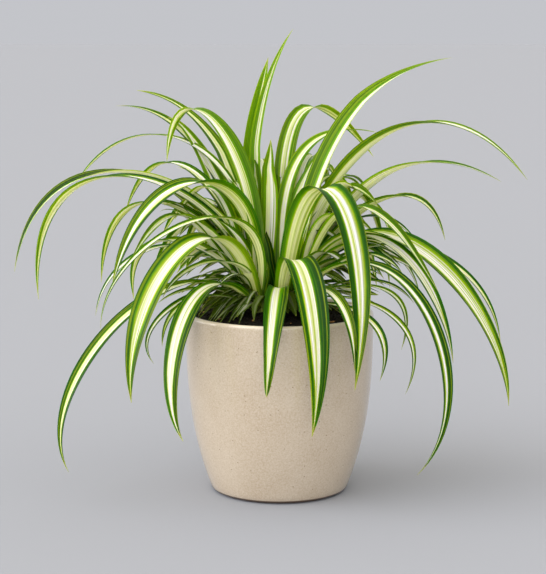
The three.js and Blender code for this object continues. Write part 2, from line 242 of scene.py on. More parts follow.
@dataclass(frozen=True)
class SpeckledGlaze:
    """Stoneware, thrown and dipped in a satin beige glaze whose iron and tin specks mottle it.

    The glaze runs thin and pale over the lip, a band that is also a painted highlight along the rim.
    The foot ring is left bare: brown clay, painted darker still as contact shade under the pot.
    """

    light: str = "ccbeab"
    middle: str = "c1b19b"
    dark: str = "b3a088"
    # Pale lip: glaze breaking thin, and a painted highlight along the rim
    lip: str = "ddd0bc"
    # Bare clay of the foot, painted darker as contact shade under the pot
    bare_and_shaded_foot: str = "54402f"
    specks: Dots = Dots("816b4e", cell_mm=5.2, radius=0.13, left_out=0.6, strength=0.75)
    flecks: Dots = Dots("cfc8bb", cell_mm=2.8, radius=0.18, left_out=0.5, strength=0.6)
    mottle_mm: float = 1.2
    cloud_mm: float = 30.0
    cloud_share: float = 0.3
    peel_mm: float = 2.2
    peel_depth_mm: float = 0.12
    lip_highlight_below_top_mm: Range = (2.2, 0.8)
    lip_highlight_strength: float = 0.7
    shaded_foot_height_mm: Range = (3.0, 2.6)

    def material(self) -> bpy.types.Material:
        """Makes the glaze.

        A fine mottle lies over a soft cloud, with sparse brown specks and pale flecks. The mottle and the
        specks are drawn a little coarser than the real ones, so that they show. A clear coat gives the
        gloss, and the faint unevenness of a poured glaze breaks its reflections.

        Returns:
            The material.
        """
        material, tree, shader = fresh_material("speckled_glaze")
        node = partial(add_node, tree)
        place = node("ShaderNodeTexCoord", out="Object")
        mottle = node("ShaderNodeTexNoise", {
            "Vector": place, "Scale": per_mm(self.mottle_mm), "Detail": 3.0, "Roughness": 0.6})
        cloud = node("ShaderNodeTexNoise", {"Vector": place, "Scale": per_mm(self.cloud_mm), "Detail": 2.0})
        mixed = node("ShaderNodeMath", {0: cloud, 1: self.cloud_share, 2: mottle}, operation="MULTIPLY_ADD")
        colour = node("ShaderNodeValToRGB", {"Fac": mixed},
                      [(0.42, self.dark), (0.88, self.light), (0.65, self.middle)])
        for dots in (self.specks, self.flecks):
            cell = node("ShaderNodeTexVoronoi", {
                "Vector": place, "Scale": per_mm(dots.cell_mm)}, out="Distance")
            dot = node("ShaderNodeMapRange", {
                "Value": cell, "From Min": dots.radius, "From Max": dots.radius * dots.core})
            lot = node("ShaderNodeSeparateColor", {"Color": cell.node.outputs["Color"]})
            rare = node("ShaderNodeMath", {0: lot, 1: dots.left_out}, operation="GREATER_THAN")
            amount = node("ShaderNodeMath", {0: dot, 1: rare}, operation="MULTIPLY")
            fade = node("ShaderNodeMath", {0: amount, 1: dots.strength}, operation="MULTIPLY")
            colour = node("ShaderNodeMix", {
                0: fade, 6: colour, 7: linear(dots.colour)}, out=2, data_type="RGBA")
        level = node("ShaderNodeSeparateXYZ", {"Vector": place}, out="Z")
        # The pale lip band: thin glaze, and a painted highlight along the rim
        lip_highlight_from, lip_highlight_to = ((POT_HEIGHT - below) * MM for below in self.lip_highlight_below_top_mm)
        lip = node("ShaderNodeMapRange", {
            "Value": level, "From Min": lip_highlight_from, "From Max": lip_highlight_to, "To Max": self.lip_highlight_strength})
        colour = node("ShaderNodeMix", {0: lip, 6: colour, 7: linear(self.lip)}, out=2, data_type="RGBA")
        # The bare foot: brown clay, darkened as painted contact shade under the pot
        shaded_foot_from, shaded_foot_to = (height * MM for height in self.shaded_foot_height_mm)
        bare_and_shaded_foot = node("ShaderNodeMapRange", {"Value": level, "From Min": shaded_foot_from, "From Max": shaded_foot_to})
        colour = node("ShaderNodeMix", {0: bare_and_shaded_foot, 6: colour, 7: linear(self.bare_and_shaded_foot)}, out=2, data_type="RGBA")
        peel = node("ShaderNodeTexNoise", {"Vector": place, "Scale": per_mm(self.peel_mm), "Detail": 2.0})
        bump = node("ShaderNodeBump", {"Height": peel, "Strength": 0.1, "Distance": self.peel_depth_mm * MM})
        tree.links.new(colour, shader.inputs["Base Color"])
        tree.links.new(bump, shader.inputs["Normal"])
        shader.inputs["Roughness"].default_value = 0.38
        shader.inputs["Coat Weight"].default_value = 0.9
        shader.inputs["Coat Roughness"].default_value = 0.1
        return material


@dataclass(frozen=True)
class PottingSoil:
    """Moist peat and composted bark: dull, nearly black, with brown crumbs."""

    dark: str = "0a0704"
    middle: str = "18110a"
    light: str = "2e2115"
    crumb_mm: float = 3.0
    grit_mm: float = 0.8

    def material(self) -> bpy.types.Material:
        """Makes the soil's finish: dark crumbs with a fine, dull grit.

        Returns:
            The material.
        """
        material, tree, shader = fresh_material("potting_soil")
        node = partial(add_node, tree)
        place = node("ShaderNodeTexCoord", out="Object")
        crumbs = node("ShaderNodeTexNoise", {
            "Vector": place, "Scale": per_mm(self.crumb_mm), "Detail": 6.0, "Roughness": 0.7})
        colour = node("ShaderNodeValToRGB", {"Fac": crumbs},
                      [(0.32, self.dark), (0.8, self.light), (0.55, self.middle)])
        grit = node("ShaderNodeTexNoise", {"Vector": place, "Scale": per_mm(self.grit_mm), "Detail": 3.0})
        bump = node("ShaderNodeBump", {"Height": grit, "Strength": 0.8, "Distance": 0.5 * MM})
        tree.links.new(colour, shader.inputs["Base Color"])
        tree.links.new(bump, shader.inputs["Normal"])
        shader.inputs["Roughness"].default_value = 0.92
        shader.inputs["Specular IOR Level"].default_value = 0.25
        return material


@dataclass(frozen=True)
class BarkChip:
    """Composted pine bark, golden brown where it broke."""

    pale: str = "b98a4e"
    dark: str = "6b4526"
    grain_mm: float = 1.0

    def material(self) -> bpy.types.Material:
        """Makes the bark's finish: streaky golden brown.

        Returns:
            The material.
        """
        material, tree, shader = fresh_material("bark_chip")
        place = add_node(tree, "ShaderNodeTexCoord", out="Object")
        grain = add_node(tree, "ShaderNodeTexNoise", {
            "Vector": place, "Scale": per_mm(self.grain_mm), "Detail": 3.0})
        colour = add_node(tree, "ShaderNodeValToRGB", {"Fac": grain}, [(0.35, self.dark), (0.65, self.pale)])
        tree.links.new(colour, shader.inputs["Base Color"])
        shader.inputs["Roughness"].default_value = 0.8
        return material


@dataclass(frozen=True)
class StripedLeaf:
    """A living leaf blade: satin and a little translucent.

    It is cream along its middle, where the cells hold no green, and green at its margins.
    """

    cream: str = "f2eeea"
    cream_shade: str = "eeeee6"
    # Green streaks in the cream, and yellow-green painted light near the base
    cream_green: str = "d0dc64"
    lime: str = "b4ba0c"
    bright: str = "5a9400"
    green: str = "205600"
    deep: str = "0e3400"
    # Lime of young leaves, also painted light on inner leaves; olive painted shade for low leaves
    young: str = "6ea000"
    shaded: str = "384a0c"
    line: str = "98b010"
    # Underside colours: paler and brighter than the upper ones, partly painted light through the leaf
    cream_below: str = "f2f3cc"
    lime_below: str = "b4c410"
    bright_below: str = "6a9c00"
    green_below: str = "2e6800"
    deep_below: str = "164200"
    # Olive of the leaf bases: painted shade where the leaves crowd at the crown
    base: str = "4c581a"
    tip: str = "7d8a2e"
    wander: float = 0.24
    jag: float = 0.3
    wider_below: float = 0.2
    slices: float = 61.0
    rib_depth_mm: float = 0.25

    def streaks(self, tree: bpy.types.NodeTree, map_axes: Sequence[bpy.types.NodeSocket],
                chance: bpy.types.NodeSocket, lines: float, drift: float) -> bpy.types.NodeSocket:
        """Draws streaks that run along the blade, each blade with its own slice of the noise.

        Args:
            tree: The material's node tree.
            map_axes: How far across and along the blade a point lies.
            chance: The blade's own random number.
            lines: About how many streaks lie side by side.
            drift: How often a streak wanders over the blade's length.

        Returns:
            The streaks' strength, about 0.5 on average.
        """
        node = partial(add_node, tree)
        across = node("ShaderNodeMath", {0: map_axes[0], 1: lines}, operation="MULTIPLY")
        along = node("ShaderNodeMath", {0: map_axes[1], 1: drift}, operation="MULTIPLY")
        seat = node("ShaderNodeMath", {0: chance, 1: self.slices, 2: lines}, operation="MULTIPLY_ADD")
        spot = node("ShaderNodeCombineXYZ", {"X": across, "Y": along, "Z": seat})
        return node("ShaderNodeTexNoise", {"Vector": spot, "Scale": 1.0, "Detail": 1.0})

    def material(self) -> bpy.types.Material:
        """Makes the leaf's finish.

        The stripes run along the blade's own map, so they narrow with it. From the middle out they are
        cream, a thin lime line, bright green and deep green, with finer lines of each inside the others.
        The underside is paler and brighter, partly as painted light coming through the leaf; the base is
        darkened to olive as painted shade at the crown, and the tip is thin and brownish.

        Returns:
            The material.
        """
        material, tree, shader = fresh_material("striped_leaf")
        node = partial(add_node, tree)
        spot = node("ShaderNodeUVMap", uv_map=BLADE_MAP)
        across = node("ShaderNodeSeparateXYZ", {"Vector": spot}, out="X")
        along = across.node.outputs["Y"]
        chance = node("ShaderNodeAttribute", attribute_name=CHANCE, out="Fac")
        stripe = node("ShaderNodeAttribute", attribute_name=STRIPE, out="Fac")
        under = node("ShaderNodeAttribute", attribute_name=UNDERSIDE, out="Fac")
        shift = node("ShaderNodeAttribute", attribute_name=SHIFT, out="Fac")
        youth_or_shade = node("ShaderNodeAttribute", attribute_name=YOUTH_OR_SHADE, out="Fac")
        streaks = partial(self.streaks, tree, (across, along), chance)

        # How far a point lies beside the cream stripe, whose edge wanders, is jagged and closes at the tip
        wander = streaks(lines=0.0, drift=2.2)
        centred = node("ShaderNodeMath", {0: across, 1: 2.0, 2: -1.0}, operation="MULTIPLY_ADD")
        pushed = node("ShaderNodeMath", {
            0: wander, 1: self.wander, 2: -0.5 * self.wander}, operation="MULTIPLY_ADD")
        wandered = node("ShaderNodeMath", {0: centred, 1: pushed}, operation="ADD")
        middle = node("ShaderNodeMath", {0: wandered, 1: shift}, operation="SUBTRACT")
        off_middle = node("ShaderNodeMath", {0: middle}, operation="ABSOLUTE")
        closing = node("ShaderNodeMapRange", {
            "Value": along, "From Min": 0.72, "From Max": 1.0, "To Min": 1.0, "To Max": 0.15})
        seen = node("ShaderNodeMath", {0: under, 1: self.wider_below, 2: stripe}, operation="MULTIPLY_ADD")
        half_stripe = node("ShaderNodeMath", {0: seen, 1: closing}, operation="MULTIPLY")
        beside = node("ShaderNodeMath", {0: off_middle, 1: half_stripe}, operation="SUBTRACT")
        coarse = streaks(lines=9.0, drift=0.7)
        jagged = node("ShaderNodeMath", {
            0: coarse, 1: self.jag, 2: -0.5 * self.jag}, operation="MULTIPLY_ADD")
        edge = node("ShaderNodeMath", {0: beside, 1: jagged}, operation="ADD")

        # The stripe and its margins, above and below; the underside's colours are paler and brighter, partly
        # painted light for light through the leaf. Then a green tinge inside the cream
        band = node("ShaderNodeMath", {0: edge, 1: 0.3}, operation="ADD")
        colour = node("ShaderNodeValToRGB", {"Fac": band}, [
            (0.265, self.cream), (0.9, self.deep), (0.3, self.lime), (0.38, self.bright), (0.5, self.green)])
        lit_underside = node("ShaderNodeValToRGB", {"Fac": band}, [
            (0.27, self.cream_below), (0.95, self.deep_below), (0.30, self.lime_below),
            (0.36, self.bright_below), (0.55, self.green_below)])
        colour = node("ShaderNodeMix", {0: under, 6: colour, 7: lit_underside}, out=2, data_type="RGBA")
        inner = node("ShaderNodeMapRange", {"Value": edge, "From Min": 0.0, "From Max": -0.03})
        broad = streaks(lines=6.0, drift=0.6)
        tinged = node("ShaderNodeMapRange", {
            "Value": broad, "From Min": 0.49, "From Max": 0.62, "To Max": 0.6})
        # Towards the base the cream turns yellow-green: painted light for light coming through the leaves
        low = node("ShaderNodeMapRange", {"Value": along, "From Min": 0.5, "From Max": 0.0, "To Max": 0.8})
        streak_or_base_glow = node("ShaderNodeMath", {0: tinged, 1: low}, operation="MAXIMUM")
        tinge_and_glow = node("ShaderNodeMath", {0: streak_or_base_glow, 1: inner}, operation="MULTIPLY")
        colour = node("ShaderNodeMix", {
            0: tinge_and_glow, 6: colour, 7: linear(self.cream_green)}, out=2, data_type="RGBA")

        # Lime lines and fine fibres along the blade
        lines = streaks(lines=13.0, drift=0.7)
        drawn = node("ShaderNodeMapRange", {"Value": lines, "From Min": 0.54, "From Max": 0.66})
        share = node("ShaderNodeMapRange", {
            "Value": edge, "From Min": -0.05, "From Max": 0.12, "To Min": 0.9, "To Max": 0.45})
        line = node("ShaderNodeMath", {0: drawn, 1: share}, operation="MULTIPLY")
        colour = node("ShaderNodeMix", {0: line, 6: colour, 7: linear(self.line)}, out=2, data_type="RGBA")
        fibres = streaks(lines=55.0, drift=1.5)
        fibre = node("ShaderNodeMapRange", {
            "Value": fibres, "From Min": 0.45, "From Max": 0.75, "To Max": 0.5})
        colour = node("ShaderNodeMix", {
            0: fibre, 6: colour, 7: linear(self.cream_shade)}, out=2, data_type="RGBA", blend_type="MULTIPLY")

        # Young leaves take a paler lime, laid on inner ones also as painted light; low ones get painted
        # shade.
        # Then a satin unevenness, the base darkened to olive as painted shade and a dry tip
        greenness = node("ShaderNodeMapRange", {
            "Value": edge, "From Min": 0.0, "From Max": 0.08, "To Min": 0.12, "To Max": 0.62})
        for strength, tint in ((greenness, self.young), (-0.9, self.shaded)):
            amount = node("ShaderNodeMath", {0: youth_or_shade, 1: strength}, operation="MULTIPLY", use_clamp=True)
            colour = node("ShaderNodeMix", {0: amount, 6: colour, 7: linear(tint)}, out=2, data_type="RGBA")
        satin = streaks(lines=20.0, drift=0.5)
        shade = node("ShaderNodeMapRange", {
            "Value": satin, "From Min": 0.3, "From Max": 0.7, "To Min": 0.8, "To Max": 1.12})
        colour = node("ShaderNodeMix", {
            0: 1.0, 6: colour, 7: shade}, out=2, data_type="RGBA", blend_type="MULTIPLY")
        # The base is darkened to olive as painted shade at the crown; the tip browns
        for start, end, strength, tint in ((0.14, 0.0, 0.85, self.base), (0.95, 1.0, 0.8, self.tip)):
            amount = node("ShaderNodeMapRange", {
                "Value": along, "From Min": start, "From Max": end, "To Max": strength})
            colour = node("ShaderNodeMix", {0: amount, 6: colour, 7: linear(tint)}, out=2, data_type="RGBA")

        # Raised ribs
        ribs = streaks(lines=28.0, drift=0.3)
        bump = node("ShaderNodeBump", {"Height": ribs, "Strength": 0.35, "Distance": self.rib_depth_mm * MM})
        tree.links.new(colour, shader.inputs["Base Color"])
        tree.links.new(bump, shader.inputs["Normal"])
        shader.inputs["Roughness"].default_value = 0.38
        shader.inputs["Specular IOR Level"].default_value = 0.1
        shader.inputs["Subsurface Weight"].default_value = 0.9
        shader.inputs["Subsurface Radius"].default_value = (1.0, 1.0, 0.6)
        shader.inputs["Subsurface Scale"].default_value = 0.8 * MM
        return material


@dataclass(frozen=True)
class PaleFloor:
    """A matt, pale studio floor."""

    colour: str = "9ea1a9"

    def material(self) -> bpy.types.Material:
        """Makes the plain floor's finish.

        Returns:
            The material.
        """
        material, _, shader = fresh_material("pale_floor")
        shader.inputs["Base Color"].default_value = linear(self.colour)
        shader.inputs["Roughness"].default_value = 0.9
        shader.inputs["Specular IOR Level"].default_value = 0.0
        return material


def pot_radius(height: float) -> float:
    """Returns the pot's outer radius at a height, both in millimetres."""
    return RIM_RADIUS - (RIM_RADIUS - FOOT_RADIUS) * (1 - height / POT_HEIGHT) ** BELLY_POWER


def drawn_up(rings: Sequence[tuple[float, float]], sides: int) -> bpy.types.Object:
    """Draws a round body up from a disc, ring by ring, and closes it with a last disc.

    Args:
        rings: Radius and height of each ring, in millimetres, from the first disc to the last.
        sides: Sides of each ring.

    Returns:
        The closed body, in metres.
    """
    radius, height = rings[0]
    bpy.ops.mesh.primitive_circle_add(
        vertices=sides, radius=radius * MM, fill_type="NGON", location=(0.0, 0.0, height * MM))
    body = bpy.context.object
    only(body)
    bpy.ops.object.transform_apply(location=True)
    bpy.ops.object.mode_set(mode="EDIT")
    bpy.ops.mesh.select_mode(type="EDGE")
    bpy.ops.mesh.select_all(action="SELECT")
    bpy.ops.mesh.region_to_loop()
    for next_radius, next_height in rings[1:]:
        bpy.ops.mesh.extrude_region_move(
            TRANSFORM_OT_translate={"value": (0.0, 0.0, (next_height - height) * MM)})
        grow = next_radius / radius
        bpy.ops.transform.resize(value=(grow, grow, 1.0), center_override=(0.0, 0.0, next_height * MM))
        radius, height = next_radius, next_height
    bpy.ops.mesh.edge_face_add()
    bpy.ops.mesh.select_all(action="SELECT")
    bpy.ops.mesh.normals_make_consistent(inside=False)
    bpy.ops.object.mode_set(mode="OBJECT")
    return body


@dataclass
class Pot:
    """The glazed pot, open at the top, with a rounded lip and a small stepped foot."""

    finish: SpeckledGlaze = field(default_factory=SpeckledGlaze)
    sides: int = 144
    wall_rings: int = 26
    lip_rings: int = 9
    foot_inset: float = 3.5
    foot_flare: float = 0.2
    bare_height: float = 1.1
    step: Sequence[tuple[float, float]] = ((1.2, 1.4), (0.4, 1.7))
    foot_height: float = 2.2
    lip_height: float = 4.0
    fillet: float = 3.0
    fillet_rings: int = 4

    def rings(self) -> list[tuple[float, float]]:
        """Works out the pot's outline, from its foot up, over the lip and down inside.

        Returns:
            Radius and height of each ring, in millimetres.
        """
        rise = POT_HEIGHT - self.lip_height - self.foot_height
        levels = [self.foot_height + rise * i / self.wall_rings for i in range(self.wall_rings + 1)]
        narrow, wide = FOOT_RADIUS - self.foot_inset, pot_radius(self.foot_height)
        foot = [(narrow, 0.0), (narrow + self.foot_flare, self.bare_height),
                *((wide - inset, height) for inset, height in self.step)]
        outside = [(pot_radius(z), z) for z in levels]
        half = WALL / 2
        arc = [math.pi * i / self.lip_rings for i in range(self.lip_rings + 1)]
        lip = [(RIM_RADIUS - half + half * math.cos(a), POT_HEIGHT - half + half * math.sin(a)) for a in arc]
        inside = [(pot_radius(z) - WALL, z) for z in reversed(levels) if z > FLOOR + self.fillet]
        inner = pot_radius(FLOOR) - WALL
        corner = [math.pi / 2 * i / self.fillet_rings for i in range(1, self.fillet_rings + 1)]
        floor = [(inner - self.fillet * (1 - math.cos(a)), FLOOR + self.fillet * (1 - math.sin(a)))
                 for a in corner]
        return foot + outside + lip + inside + floor

    def build(self) -> bpy.types.Object:
        """Draws the pot up and glazes it.

        Returns:
            The pot.
        """
        pot = drawn_up(self.rings(), self.sides)
        pot.name = "glazed_pot"
        smoothed(pot, 40.0)
        pot.data.materials.append(self.finish.material())
        placed(pot, "pot")
        return pot


@dataclass(frozen=True)
class Lumps:
    """Loose lumps of one kind: how many, and in millimetres their shape and the range of their size."""

    count: int
    shape: Point
    size: Range
    dent_seed: int
    seed: int


@dataclass
class Soil:
    """The filling: a crumbly mound nearly up to the rim, with loose crumbs and bits of bark on it."""

    crowns: Sequence[Vector]
    finish: PottingSoil = field(default_factory=PottingSoil)
    bark: BarkChip = field(default_factory=BarkChip)
    sides: int = 120
    top_rings: int = 34
    gap: float = 0.3
    side_levels: Sequence[float] = (14.0, 30.0, 50.0, 75.0, 100.0, 120.0, 132.0, SOIL_EDGE)
    bottom_inset: float = 3.3
    hole_radius: float = 6.7
    hole_foot: float = 129.5
    hole_sides: int = 28
    drill_length: float = 40.0
    swell_height: float = 0.7
    grain_height: float = 0.45
    crumbs: Lumps = Lumps(700, shape=(1.0, 0.85, 0.7), size=(0.6, 1.9), dent_seed=3, seed=7)
    chips: Lumps = Lumps(26, shape=(1.9, 0.9, 0.45), size=(0.9, 1.9), dent_seed=5, seed=19)
    dent: float = 0.35
    wall_clear: float = 3.5
    crown_clear: float = 2.0
    scatter: float = 0.6
    tilt: Range = (-0.5, 0.5)
    seat: float = 0.25

    def height(self, x: float, y: float) -> float:
        """Works out how high the soil's top is, all in millimetres.

        Args:
            x: Where, to the right.
            y: Where, to the back.

        Returns:
            The height: a mound with broad swells and a fine grain.
        """
        mound = SOIL_MOUND * (1 - (x * x + y * y) / (RIM_RADIUS * RIM_RADIUS))
        # Waves about 15 mm long with shorter ones across them, and a grain of about 3 mm
        swell = math.sin(x * 0.43 + 1.3) * math.cos(y * 0.39 - 0.6) + 0.6 * math.sin(x * 0.83 - y * 0.71)
        grain = math.sin(x * 2.1 + 0.9 * math.sin(y * 1.7)) * math.cos(y * 2.3 + math.sin(x * 1.1))
        return SOIL_EDGE + mound + self.swell_height * swell + self.grain_height * grain

    def body(self) -> bpy.types.Object:
        """Draws the filling up inside the pot, roughens its top and cuts a hole for each crown.

        Returns:
            The filling, without its loose crumbs.
        """
        edge = pot_radius(SOIL_EDGE) - WALL - self.gap
        side = [(pot_radius(z) - WALL - self.gap, z) for z in self.side_levels]
        bottom = [(pot_radius(FLOOR) - WALL - self.bottom_inset, FLOOR + self.gap)]
        # The top's rings are drawn a little above the edge, which tells them from it below
        top = [(edge * (1 - i / self.top_rings), SOIL_EDGE + 0.5) for i in range(1, self.top_rings)]
        body = drawn_up(bottom + side + top, self.sides)
        for vertex in body.data.vertices:
            if vertex.co.z > (SOIL_EDGE + 0.2) * MM:
                vertex.co.z = self.height(vertex.co.x / MM, vertex.co.y / MM) * MM
        for crown in self.crowns:
            bpy.ops.mesh.primitive_cylinder_add(
                vertices=self.hole_sides, radius=self.hole_radius * MM, depth=self.drill_length * MM,
                location=(crown.x * MM, crown.y * MM, (self.hole_foot + self.drill_length / 2) * MM))
            drill = bpy.context.object
            only(body)
            hole = body.modifiers.new("hole", "BOOLEAN")
            hole.operation = "DIFFERENCE"
            hole.object = drill
            bpy.ops.object.modifier_apply(modifier=hole.name)
            bpy.data.objects.remove(drill)
        body.data.materials.append(self.finish.material())
        smoothed(body, 50.0)
        return body

    def lump(self, lumps: Lumps) -> bpy.types.Object:
        """Makes one loose, angular lump to be copied.

        Args:
            lumps: What kind it is.

        Returns:
            The lump.
        """
        bpy.ops.mesh.primitive_ico_sphere_add(subdivisions=1, radius=MM)
        lump = bpy.context.object
        only(lump)
        bpy.ops.object.mode_set(mode="EDIT")
        bpy.ops.mesh.select_all(action="SELECT")
        bpy.ops.transform.vertex_random(
            offset=self.dent * MM, uniform=1.0, normal=0.0, seed=lumps.dent_seed)
        bpy.ops.transform.resize(value=lumps.shape, center_override=(0.0, 0.0, 0.0))
        bpy.ops.mesh.normals_make_consistent(inside=False)
        bpy.ops.object.mode_set(mode="OBJECT")
        return lump

    def scattered(self, lumps: Lumps, finish: bpy.types.Material) -> list[bpy.types.Object]:
        """Scatters lumps of one kind over the soil's top in an even spiral, off the crowns.

        Args:
            lumps: What kind they are.
            finish: What they are made of.

        Returns:
            The lumps.
        """
        lump = self.lump(lumps)
        lump.data.materials.append(finish)
        numbers = seeded_numbers(lumps.seed)
        reach = pot_radius(SOIL_EDGE) - WALL - self.wall_clear
        copies = []
        for i in range(lumps.count):
            radius = reach * math.sqrt((i + 0.5) / lumps.count)
            # Each turns on from the last by the golden angle, with some scatter
            angle = i * math.pi * (3 - math.sqrt(5)) + self.scatter * next(numbers)
            x, y = radius * math.cos(angle), radius * math.sin(angle)
            scale = lerp(*lumps.size, next(numbers))
            turn = math.tau * next(numbers)
            tilt = lerp(*self.tilt, next(numbers))
            if any(math.hypot(x - c.x, y - c.y) < self.hole_radius + self.crown_clear for c in self.crowns):
                continue
            copy = lump.copy()
            copy.data = lump.data.copy()
            bpy.context.collection.objects.link(copy)
            copy.scale = (scale, scale, scale)
            copy.rotation_euler = (tilt, 0.5 * tilt, turn)
            copy.location = (x * MM, y * MM, (self.height(x, y) + self.seat * scale) * MM)
            copies.append(copy)
        bpy.data.objects.remove(lump)
        return copies

    def build(self) -> bpy.types.Object:
        """Builds the filling with its loose crumbs and bark.

        Returns:
            The soil.
        """
        body = self.body()
        crumbs = self.scattered(self.crumbs, body.data.materials[0])
        chips = self.scattered(self.chips, self.bark.material())
        soil = joined([body, *crumbs, *chips], "potting_soil")
        placed(soil, "soil")
        return soil


@dataclass(frozen=True)
class Blade:
    """One leaf blade: its middle and tip in millimetres, its width, its facing and how it leaves the crown.

    Above 0 it takes the lime of a young leaf, partly as painted light, and below 0 it is darkened towards
    olive as painted shade. Its cream stripe may be wider or narrower than usual and lie off the blade's
    middle, both as shares of half its width.
    """

    middle: Point
    tip: Point
    width: float
    faces: float
    lean: float
    rise: float
    young: float = 0.0
    widest: float = 0.48
    taper: float = 1.9
    twist: float = 0.0
    cream: float = 0.0
    shift: float = 0.0


@dataclass(frozen=True)
class Filling:
    """Leaves between the placed ones: how far they reach, how high they arch and how wide they are.

    They face the way that they lean, and a filling may be turned from that by some degrees. Their tips fall
    by a share of the crest, and they spread over a part of the sector, from -1 to 1.
    """

    count: int
    reach: Range
    crest: Range
    width: Range
    seed: int
    lean: float = 10.0
    rise: float = 0.8
    # Above 0 the lime of young leaves, partly painted light; below 0 painted shade for low leaves
    young: float = 0.0
    falls: Range | None = None
    twist: float = 0.0
    spread: Range = (-0.9, 0.9)
    turned: float = 0.0
    taper: float = 2.8


class Cut(Enum):
    """How finely a blade is divided: cells across and along."""

    BROAD = (10, 44)
    NARROW = (4, 22)


@dataclass
class BladeTemplate:
    """A flat, straight blade in its own measures: -1 to 1 across, 0 to 1 along, 0 to -1 through."""

    cut: Cut

    def build(self) -> bpy.types.Object:
        """Models the template from a grid and gives it its thickness.

        Returns:
            The template, which is copied for each blade.
        """
        across, along = self.cut.value
        bpy.ops.mesh.primitive_grid_add(x_subdivisions=across, y_subdivisions=along, size=2.0, calc_uvs=True)
        blank = bpy.context.object
        only(blank)
        bpy.ops.object.mode_set(mode="EDIT")
        bpy.ops.mesh.select_all(action="SELECT")
        bpy.ops.transform.resize(value=(1.0, 0.5, 1.0), center_override=(0.0, 0.0, 0.0))
        bpy.ops.transform.translate(value=(0.0, 0.5, 0.0))
        bpy.ops.object.mode_set(mode="OBJECT")
        blank.data.uv_layers[0].name = BLADE_MAP
        wall = blank.modifiers.new("through", "SOLIDIFY")
        wall.thickness = 1.0
        wall.offset = -1.0
        wall.use_even_offset = False
        bpy.ops.object.modifier_apply(modifier=wall.name)
        return blank


